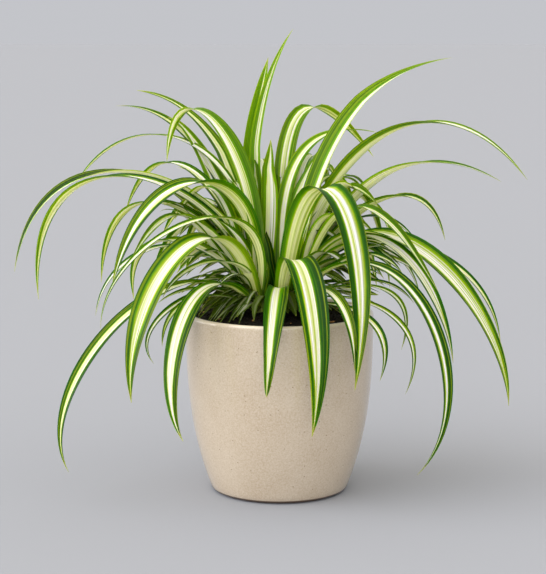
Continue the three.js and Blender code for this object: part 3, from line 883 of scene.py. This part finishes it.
@dataclass
class Tuft:
    """One bunch of leaves that grows from a crown in the soil, inside its own sector.

    Its sizes are in millimetres and its angles in degrees. Channel and ripple are shares of half a leaf's
    width, and a fall is a share of how high the leaf arches.
    """

    node: str
    from_angle: float
    to_angle: float
    blades: Sequence[Blade]
    fillings: Sequence[Filling]
    thickness: float = 0.3
    channel: float = 0.28
    base_channel: float = 0.5
    base_width: float = 0.58
    tip_width: float = 0.02
    clearance: float = 0.5
    root_depth: float = 3.5
    narrow: float = 6.0
    base_share: float = 0.35
    rim_reach: float = 100.0
    short_fall: float = 0.25
    long_fall: Range = (0.5, 1.3)
    facing_scatter: Range = (-25, 25)
    shift_scatter: Range = (-0.3, 0.3)
    stripe_share: Range = (0.3, 0.52)
    fold_power: float = 1.8
    ripple: float = 0.05
    ripples: float = 2.6
    margin_thinning: float = 0.6
    line_steps: int = 200
    leaf_angle: float = 0.618
    stem_sides: int = 24
    stem_rings: Sequence[tuple[float, float]] = (
        (1.0, 130.5), (0.0, 133.5), (0.0, 144.0), (0.6, 147.0), (2.0, 149.5), (4.5, 151.5))

    @property
    def middle_angle(self) -> float:
        """The sector's middle direction, in radians."""
        return math.radians((self.from_angle + self.to_angle) / 2)

    @property
    def half_angle(self) -> float:
        """Half of the sector's opening, in radians."""
        return math.radians((self.to_angle - self.from_angle) / 2)

    @property
    def crown(self) -> Vector:
        """Where the leaves start, in millimetres."""
        return Vector((PLANT_X + CROWN_OFFSET * math.cos(self.middle_angle),
                       CROWN_OFFSET * math.sin(self.middle_angle), ROOT_HEIGHT))

    def filled(self, filling: Filling) -> Iterator[Blade]:
        """Spreads a filling's leaves evenly over the sector.

        Args:
            filling: What the leaves are like.

        Yields:
            The leaves. Those too short to clear the rim stay above it.
        """
        numbers = seeded_numbers(filling.seed)
        for i in range(filling.count):
            share = ((i + 0.5) * self.leaf_angle) % 1
            angle = self.middle_angle + lerp(*filling.spread, share) * self.half_angle
            far = lerp(*filling.reach, next(numbers))
            high = lerp(*filling.crest, next(numbers))
            fall = (self.short_fall if far < self.rim_reach else lerp(*self.long_fall, next(numbers))) * high
            if filling.falls:
                fall = lerp(*filling.falls, next(numbers)) * high
            wide = lerp(*filling.width, next(numbers))
            x, y = math.cos(angle), math.sin(angle)
            middle = (PLANT_X + 0.5 * far * x, 0.5 * far * y, ROOT_HEIGHT + high)
            tip = (PLANT_X + far * x, far * y, ROOT_HEIGHT + high - fall)
            faces = math.degrees(angle) + filling.turned + lerp(*self.facing_scatter, next(numbers))
            turn = lerp(-filling.twist, filling.twist, next(numbers))
            shift = lerp(*self.shift_scatter, next(numbers))
            yield Blade(middle, tip, wide, faces, filling.lean, filling.rise, filling.young,
                        taper=filling.taper, twist=turn, shift=shift)

    def centre_line(self, blade: Blade) -> tuple[Callable[[float], Vector], Callable[[float], Vector]]:
        """Lays a blade's centre line from its crown through its middle to its tip.

        Args:
            blade: The blade.

        Returns:
            Two functions that give the line's place and its direction at a share of its length.
        """
        middle, tip = Vector(blade.middle), Vector(blade.tip)
        away = Vector((tip.x - PLANT_X, tip.y, 0.0)).normalized()
        root = self.crown + away * ROOT_OFFSET - Vector((0.0, 0.0, self.root_depth))
        to_middle = middle - root
        level = Vector((to_middle.x, to_middle.y, 0.0)).normalized()
        lean = math.radians(blade.lean)
        start = level * math.sin(lean) + Vector((0.0, 0.0, 1.0)) * math.cos(lean)
        # The curve leaves the crown along the start and passes the blade's middle at half its parameter
        first = root + start * blade.rise * to_middle.length
        second = (middle * 8 - root - tip) / 3 - first

        def place(t: float) -> Vector:
            """Returns the point at a curve parameter."""
            s = 1 - t
            return root * s ** 3 + first * (3 * s * s * t) + second * (3 * s * t * t) + tip * t ** 3

        def heading(t: float) -> Vector:
            """Returns the direction at a curve parameter."""
            s = 1 - t
            return ((first - root) * (s * s) + (second - first) * (2 * s * t)
                    + (tip - second) * (t * t)).normalized()

        points = [place(i / self.line_steps) for i in range(self.line_steps + 1)]
        travelled = np.concatenate(([0.0], np.cumsum([(b - a).length for a, b in zip(points, points[1:])])))
        by_length = np.linspace(0.0, 1.0, self.line_steps + 1)

        def at(share: float) -> float:
            """Returns the curve parameter at a share of the length."""
            return float(np.interp(share * travelled[-1], travelled, by_length))

        return (lambda share: place(at(share))), (lambda share: heading(at(share)))

    def width_share(self, blade: Blade, share: float) -> float:
        """Works out how wide a blade is along its length: narrow base, broad middle, fine tip.

        Args:
            blade: The blade.
            share: How far along it.

        Returns:
            The share of its full width.
        """
        base = lerp(self.base_width, 1.0, smooth_step(share, 0.0, blade.widest))
        past = max(0.0, share - blade.widest) / (1 - blade.widest)
        return max(self.tip_width, base * (1 - past ** blade.taper))

    def in_sector(self, point: Vector, half_width: float) -> Vector:
        """Moves a point round the plant's middle if its blade would leave the sector there.

        Args:
            point: A point on the blade's centre line, in millimetres.
            half_width: Half the blade's width there.

        Returns:
            The point, inside the sector.
        """
        x = point.x - PLANT_X
        radius = math.hypot(x, point.y)
        spare = math.asin(min(1.0, (half_width + self.clearance) / max(radius, 1.0)))
        limit = max(0.0, self.half_angle - spare)
        turn = math.atan2(point.y, x) - self.middle_angle
        wrapped = math.atan2(math.sin(turn), math.cos(turn))
        angle = self.middle_angle + min(limit, max(-limit, wrapped))
        return Vector((PLANT_X + radius * math.cos(angle), radius * math.sin(angle), point.z))

    def bent(self, template: bpy.types.Object, blade: Blade, cut: Cut,
             numbers: Iterator[float]) -> bpy.types.Object:
        """Copies the template and bends the copy to a blade's own line, width and facing.

        The bend follows a curve in space and turns as it goes, which no operator does, so the points are
        worked out row by row.

        Args:
            template: The straight blade.
            blade: What the copy becomes.
            cut: How finely the template is divided.
            numbers: Numbers for the blade's own stripe and ripple.

        Returns:
            The bent copy.
        """
        place, heading = self.centre_line(blade)
        along = cut.value[1]
        facing = math.radians(blade.faces)
        wide_axis = Vector((math.sin(facing), -math.cos(facing), 0.0))
        rows = []
        for i in range(along + 1):
            share = i / along
            wide = self.width_share(blade, share)
            half = blade.width / 2 * wide
            point = self.in_sector(place(share), half)
            forward = heading(share)
            side = (wide_axis - forward * wide_axis.dot(forward)).normalized()
            side.rotate(Quaternion(forward, math.radians(blade.twist) * share * share))
            upper = side.cross(forward)
            deep = self.thickness * math.sqrt(wide)
            fold = lerp(self.base_channel, self.channel, smooth_step(share, 0.0, self.base_share))
            rows.append((*point, *side, *upper, half, deep, share, fold))
        table = np.array(rows)
        copy = template.copy()
        copy.data = template.data.copy()
        bpy.context.collection.objects.link(copy)
        count = len(copy.data.vertices)
        flat = np.empty(count * 3)
        copy.data.vertices.foreach_get("co", flat)
        flat = flat.reshape(-1, 3)
        row = table[np.rint(flat[:, 1] * along).astype(int)]
        across, through = flat[:, 0:1], flat[:, 2:3]
        point, side, upper = row[:, 0:3], row[:, 3:6], row[:, 6:9]
        half, deep, share, fold = row[:, 9:10], row[:, 10:11], row[:, 11:12], row[:, 12:13]
        stripe, chance, phase = next(numbers), next(numbers), next(numbers)
        ripple = self.ripple * np.sin(math.tau * (self.ripples * share + phase)) * across * np.abs(across)
        lift = (fold * np.abs(across) ** self.fold_power + ripple) * half
        depth = through * deep * (1 - self.margin_thinning * across ** 2)
        bent = point + side * across * half + upper * (lift + depth)
        copy.data.vertices.foreach_set("co", (bent * MM).ravel())
        for name, values in ((UNDERSIDE, (flat[:, 2] < -0.5).astype(float)),
                             (CHANCE, np.full(count, chance)),
                             (STRIPE, np.full(count, lerp(*self.stripe_share, stripe) + blade.cream)),
                             (SHIFT, np.full(count, blade.shift)),
                             (YOUTH_OR_SHADE, np.full(count, blade.young))):
            copy.data.attributes.new(name, "FLOAT", "POINT").data.foreach_set("value", values)
        copy.data.update()
        return copy

    def stem(self) -> bpy.types.Object:
        """Models the crown: a short stem that stands in its hole in the soil, under the leaf bases.

        Returns:
            The stem.
        """
        rings = [(CROWN_RADIUS - inset, height) for inset, height in self.stem_rings]
        stem = drawn_up(rings, self.stem_sides)
        stem.data.uv_layers.new(name=BLADE_MAP)
        count = len(stem.data.vertices)
        for name, value in ((UNDERSIDE, 1.0), (CHANCE, 0.5), (STRIPE, 0.2), (SHIFT, 0.0), (YOUTH_OR_SHADE, 0.0)):
            stem.data.attributes.new(name, "FLOAT", "POINT").data.foreach_set("value", np.full(count, value))
        stem.location = (self.crown.x * MM, self.crown.y * MM, 0.0)
        return stem

    def build(self, templates: dict[Cut, bpy.types.Object], finish: bpy.types.Material,
              seed: int) -> bpy.types.Object:
        """Builds the tuft with all its blades.

        Args:
            templates: The straight blades to copy.
            finish: The leaf material.
            seed: Where the tuft's run of numbers starts.

        Returns:
            The tuft.
        """
        numbers = seeded_numbers(seed)
        pieces = [self.stem()]
        blades = [*self.blades, *(blade for filling in self.fillings for blade in self.filled(filling))]
        for blade in blades:
            cut = Cut.NARROW if blade.width < self.narrow else Cut.BROAD
            pieces.append(self.bent(templates[cut], blade, cut, numbers))
        for piece in pieces:
            piece.data.materials.append(finish)
        tuft = joined(pieces, self.node.replace("tuft", "leaves"))
        smoothed(tuft, 60.0)
        placed(tuft, self.node)
        return tuft


def planted() -> list[Tuft]:
    """Plans the plant's leaves.

    Returns:
        The five tufts, before they are modelled.
    """
    # A young value above 0 gives the lime of young leaves, partly painted light; below 0, painted shade
    right = Tuft("tuft_right", -22, 28, [
        Blade((38, 18, 273), (139, 45, 344), 17, 50, 0, 0.7, 0.5, cream=-0.05, shift=0.5),
        Blade((79, 30, 279), (201, 35, 246), 15, 315, 0, 0.8, 0.3, shift=-0.2),
        Blade((73, 30, 242), (182, 50, 243), 14, 315, 15, 0.7, 0.3),
        Blade((70, 20, 224), (134, 25, 198), 16, 320, 10, 0.6),
        Blade((61, -20, 230), (124, -28, 164), 13, 315, 15, 1.2, 0.4, shift=0.15),
        Blade((89, -12, 198), (137, -22, 106), 16, 315, 20, 1.4, cream=0.1),
        Blade((111, -3, 194), (182, -20, 71), 20, 305, 15, 1.3, cream=0.05),
        Blade((108, 10, 194), (180, 20, 113), 11, 320, 25, 0.9),
        Blade((65, 25, 190), (115, 30, 150), 9, 325, 20, 0.7),
        Blade((59, -10, 170), (106, -15, 153), 10, 325, 40, 0.6),
        Blade((29, 15, 189), (66, 20, 213), 11, 320, -10, 0.5, 0.3),
        Blade((41, -5, 190), (89, -8, 193), 13, 315, 15, 0.6, 0.2),
        Blade((48, -20, 186), (96, -26, 178), 13, 312, 25, 0.5),
    ], [
        Filling(6, (95, 135), (30, 75), (9, 12), 11, falls=(0.3, 0.7), spread=(0.0, 0.9), turned=-60.0),
        Filling(10, (60, 95), (40, 85), (11, 16), 12, young=0.5, falls=(0.0, 0.3), twist=12.0,
                spread=(-0.2, 0.9), turned=-60.0),
        Filling(12, (55, 90), (12, 40), (8, 11), 13, young=-0.35, falls=(0.2, 0.6), twist=20.0,
                spread=(-0.9, 0.8), turned=-50.0),
    ])
    back = Tuft("tuft_back", 28, 122, [
        Blade((-25, 45, 242), (-9, 60, 344), 13, 94, 40, 0.8, 1.0, widest=0.6, taper=2.6, cream=-0.12,
              shift=0.2),
        Blade((-21, 32, 257), (11, 42, 367), 9, 80, 35, 0.6, 1.0, cream=-0.1, shift=0.2),
        Blade((-14, 18, 212), (-7, 16, 280), 14, 95, 30, 0.7, 0.7, widest=0.55, taper=2.6, cream=0.15,
              shift=0.25),
        Blade((-8, 16, 180), (-14, 26, 218), 10, 90, 0, 0.6, cream=-0.5),
        Blade((6, 50, 269), (79, 85, 261), 16, 75, 40, 0.5, 0.4, shift=-0.1),
        Blade((8, 28, 245), (83, 62, 282), 13, 60, 0, 0.6, 0.6),
        Blade((10, 20, 215), (37, 30, 278), 11, 70, 10, 1.0, 0.7),
        Blade((31, 45, 199), (42, 60, 264), 6, 60, 40, 1.1),
        Blade((24, 35, 191), (50, 55, 232), 11, 60, 40, 0.8, 0.6),
        Blade((12, 20, 196), (34, 30, 240), 11, 75, 20, 0.5, 0.6),
    ], [
        Filling(12, (110, 165), (55, 105), (10, 17), 23, falls=(0.4, 1.0)),
        Filling(4, (60, 95), (25, 60), (6, 9), 24),
        Filling(18, (60, 130), (60, 108), (10, 15), 27, young=0.5, falls=(0.0, 0.4), twist=12.0),
        Filling(12, (60, 120), (20, 60), (9, 13), 26, falls=(0.1, 0.5), twist=12.0),
    ])
    left = Tuft("tuft_left", 122, 195, [
        Blade((-109, 30, 250), (-215, 25, 172), 17, 215, -5, 0.8, cream=-0.1, shift=-0.4),
        Blade((-112, 5, 250), (-191, -10, 155), 14, 140, 0, 0.8),
        Blade((-74, 60, 274), (-170, 75, 239), 8, 125, -10, 1.0),
        Blade((-51, 50, 247), (-135, 70, 304), 13, 125, -5, 0.5),
        Blade((-39, 45, 251), (-117, 65, 317), 13, 125, -20, 0.6, 0.3),
        Blade((-47, 35, 287), (-92, 50, 259), 16, 118, -15, 0.9, 0.6, shift=-0.25),
        Blade((-47, 40, 233), (-94, 65, 294), 18, 118, -20, 0.3, 0.6, cream=0.1),
        Blade((-60, 30, 244), (-126, 40, 218), 12, 130, -5, 0.6),
        Blade((-59, -4, 247), (-131, -25, 168), 20, 236, -10, 1.2),
        Blade((-87, 10, 228), (-142, 0, 167), 12, 135, 10, 0.8),
        Blade((-93, 0, 196), (-146, -10, 142), 9, 225, 20, 1.0),
        Blade((-73, -10, 200), (-114, -25, 157), 12, 135, 0, 0.6),
        Blade((-45, 30, 201), (-88, 45, 243), 13, 130, -20, 0.3, 0.4),
        Blade((-50, 20, 199), (-94, 30, 238), 13, 135, -5, 0.3, 0.3),
        Blade((-50, 12, 199), (-92, 8, 228), 13, 140, 0, 0.3),
        Blade((-53, 0, 196), (-94, -8, 225), 12, 225, 30, 0.3),
        Blade((-41, -8, 191), (-77, -12, 222), 12, 235, -20, 0.3, 0.3),
        Blade((-38, 15, 189), (-69, 20, 224), 12, 130, -25, 0.3),
        Blade((-32, 22, 188), (-62, 35, 221), 12, 125, -30, 0.6, 0.2),
        Blade((-24, 5, 186), (-49, 0, 217), 14, 140, -40, 0.6, 0.4),
        Blade((-62, -2, 212), (-118, -8, 185), 13, 230, 30, 0.6, 0.3),
        Blade((-37, 45, 210), (-84, 60, 254), 10, 125, -40, 0.5, 0.4),
    ], [
        Filling(8, (90, 135), (30, 80), (9, 12), 35, falls=(0.3, 0.7), spread=(-0.9, 0.1), turned=-25.0),
        Filling(10, (60, 95), (45, 90), (11, 16), 36, young=0.5, falls=(0.0, 0.3), twist=12.0,
                spread=(-0.9, 0.3), turned=-25.0),
        Filling(10, (55, 90), (12, 40), (8, 11), 37, young=-0.35, falls=(0.2, 0.6), twist=20.0,
                spread=(-0.3, 0.9), turned=-25.0),
        Filling(14, (50, 68), (3, 13), (6, 10), 38, lean=65.0, rise=0.6, young=-1.0, falls=(0.5, 1.3),
                twist=50.0, spread=(0.4, 0.95)),
    ])
    front_left = Tuft("tuft_front_left", 195, 250, [
        Blade((-66, -30, 220), (-138, -50, 139), 11, 240, -15, 1.5, widest=0.3, taper=1.2),
        Blade((-76, -48, 198), (-113, -75, 86), 24, 240, 10, 1.5, shift=0.1),
        Blade((-125, -42, 142), (-164, -55, 26), 14, 235, 35, 0.9),
        Blade((-72, -72, 150), (-73, -88, 59), 17, 250, 40, 1.3, cream=-0.08, shift=0.2),
        Blade((-59, -45, 163), (-90, -62, 127), 8, 235, 40, 0.5),
        Blade((-45, -30, 188), (-90, -50, 163), 10, 240, -10, 1.0),
        Blade((-56, -25, 166), (-94, -45, 158), 9, 235, 40, 0.7),
        Blade((-72, -35, 160), (-97, -50, 111), 8, 235, 10, 0.8),
        Blade((-13, -8, 166), (-11, -6, 186), 9, 270, 0, 0.5, cream=-0.5),
    ], [
        Filling(7, (40, 72), (14, 30), (4, 6), 47, young=-0.4, spread=(-0.9, 0.0)),
        Filling(16, (50, 68), (5, 14), (3, 6), 52, lean=60.0, rise=0.6, young=-0.8, falls=(1.0, 1.9),
                twist=40.0, spread=(-0.9, 0.8)),
        Filling(20, (48, 68), (3, 16), (6, 10), 49, lean=65.0, rise=0.6, young=-1.0, falls=(0.5, 1.3),
                twist=50.0, spread=(-0.95, 0.3)),
    ])
    front_right = Tuft("tuft_front_right", 250, 338, [
        Blade((42, -50, 242), (56, -95, 100), 21, 285, 5, 1.6, cream=0.02, shift=-0.12),
        Blade((21, -78, 179), (24, -98, 65), 24, 272, 10, 1.5, widest=0.4, taper=1.7, cream=-0.1, shift=0.12),
        Blade((-4, -80, 155), (-10, -96, 95), 18, 268, 0, 1.0, widest=0.38, taper=1.5, cream=-0.1,
              shift=0.15),
        Blade((37, -70, 171), (56, -88, 113), 11, 290, 40, 0.8, cream=-0.1, shift=0.1),
        Blade((108, -62, 160), (105, -75, 29), 12, 300, 35, 1.3, cream=-0.08, shift=0.1),
        Blade((65, -40, 171), (93, -60, 124), 7, 300, 40, 0.5, cream=-0.1),
        Blade((70, -50, 158), (96, -68, 91), 7, 300, 40, 0.5, cream=-0.1),
        Blade((51, -62, 157), (76, -72, 102), 9, 300, 40, 0.3, cream=-0.1),
    ], [
        Filling(7, (40, 72), (14, 30), (4, 6), 59, young=-0.4, spread=(0.1, 0.9)),
        Filling(14, (44, 66), (3, 14), (6, 10), 61, lean=60.0, rise=0.6, young=-1.0, falls=(0.7, 1.3),
                twist=50.0),
    ])
    return [right, back, left, front_left, front_right]


@dataclass
class Studio:
    """The camera, the floor and the soft lights."""

    place: Point = (-5.2, -1340.0, 371.0)
    pitch: float = 8.8
    focal_px: float = 1700.0
    sensor_mm: float = 36.0
    floor_size: float = 60.0
    floor: PaleFloor = field(default_factory=PaleFloor)
    horizon: str = "a3a4a8"
    overhead: str = "eee8dd"
    horizon_height: float = 0.1
    overhead_height: float = 0.7
    surround: float = 1.5
    aim_height: float = 0.17

    def camera(self) -> None:
        """Sets up the camera at the photograph's angle."""
        data = bpy.data.cameras.new("camera")
        data.sensor_fit = "VERTICAL"
        data.sensor_height = self.sensor_mm
        data.lens = self.focal_px * self.sensor_mm / PHOTO_HEIGHT_PX
        camera = bpy.data.objects.new("camera", data)
        camera.location = Vector(self.place) * MM
        camera.rotation_euler = (math.radians(90.0 - self.pitch), 0.0, 0.0)
        bpy.context.collection.objects.link(camera)
        bpy.context.scene.camera = camera

    def ground(self) -> None:
        """Lays the pale floor under the pot."""
        bpy.ops.mesh.primitive_plane_add(size=self.floor_size)
        ground = bpy.context.object
        ground.name = "floor"
        ground.data.materials.append(self.floor.material())

    def light(self, name: str, place: Point, power: float, spread: float, tint: str) -> None:
        """Sets a soft, far light that shines at the plant.

        Args:
            name: The light's name.
            place: Where it shines from, in metres.
            power: Its strength, in watts a square metre.
            spread: How wide it is, in degrees.
            tint: Its colour, as an sRGB hex value.
        """
        data = bpy.data.lights.new(name, "SUN")
        data.energy = power
        data.angle = math.radians(spread)
        data.color = linear(tint)[:3]
        lamp = bpy.data.objects.new(name, data)
        lamp.location = place
        beam = Vector((0.0, 0.0, self.aim_height)) - Vector(place)
        lamp.rotation_euler = beam.to_track_quat("-Z", "Y").to_euler()
        bpy.context.collection.objects.link(lamp)

    def surroundings(self) -> None:
        """Surrounds the studio with plain light that meets the floor's own shade at the horizon."""
        world = bpy.data.worlds.new("studio")
        world.use_nodes = True
        tree = world.node_tree
        ray = add_node(tree, "ShaderNodeTexCoord")
        height = add_node(tree, "ShaderNodeSeparateXYZ", {"Vector": ray}, out="Z")
        shade = add_node(tree, "ShaderNodeValToRGB", {"Fac": height}, [
            (self.horizon_height, self.horizon), (self.overhead_height, self.overhead)])
        background = tree.nodes["Background"]
        tree.links.new(shade, background.inputs["Color"])
        background.inputs["Strength"].default_value = self.surround
        bpy.context.scene.world = world

    def build(self) -> None:
        """Sets the whole studio up."""
        bpy.context.scene.view_settings.view_transform = "Standard"
        self.camera()
        self.ground()
        self.light("key_light", (-2.4, -1.1, 2.4), power=1.5, spread=58.0, tint="fafbff")
        self.light("edge_light", (-3.0, 0.3, 0.35), power=2.2, spread=50.0, tint="fffaf4")
        self.light("front_light", (-0.3, -3.0, 0.7), power=1.4, spread=40.0, tint="fffefc")
        self.surroundings()
        log.info("studio set up")


def main() -> None:
    """Builds the studio, the pot, the soil and the tufts."""
    logging.basicConfig(level=logging.INFO, format="%(message)s")
    Studio().build()
    Pot().build()
    tufts = planted()
    Soil([tuft.crown for tuft in tufts]).build()
    templates = {cut: BladeTemplate(cut).build() for cut in Cut}
    leaf = StripedLeaf().material()
    for index, tuft in enumerate(tufts):
        tuft.build(templates, leaf, FIRST_TUFT_SEED + index)
    for template in templates.values():
        bpy.data.objects.remove(template)


if __name__ == "__main__":
    main()
